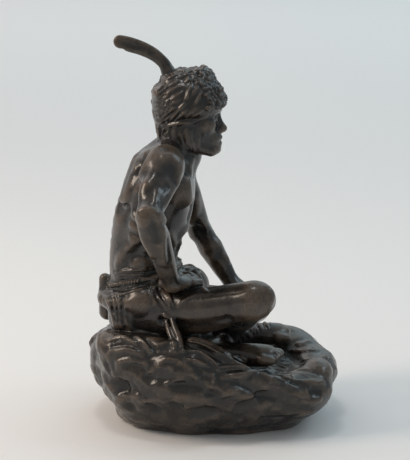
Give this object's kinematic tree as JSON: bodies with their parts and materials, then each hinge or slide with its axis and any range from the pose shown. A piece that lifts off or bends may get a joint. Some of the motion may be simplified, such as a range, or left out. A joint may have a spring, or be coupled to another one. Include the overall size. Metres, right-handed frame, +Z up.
{
  "type": "seated figure sculpture",
  "caption": "One-piece stoneware sculpture: a bare-chested figure in a wrapped headdress with one feather, seated cross-legged on a boulder.",
  "frame": {"origin": "on the surface that the boulder stands on, at the centre of the sculpture's box seen from above", "axes": "+Z up, +X the way the figure faces, +Y to the figure's left"},
  "size_m": [0.2514, 0.2244, 0.3878],
  "materials": {
    "stoneware": "dark brown-black satin gloss glaze, worn to a warmer brown on the raised edges"
  },
  "bodies": {
    "root": {"figure_on_boulder": "stoneware"}
  },
  "joints": []
}
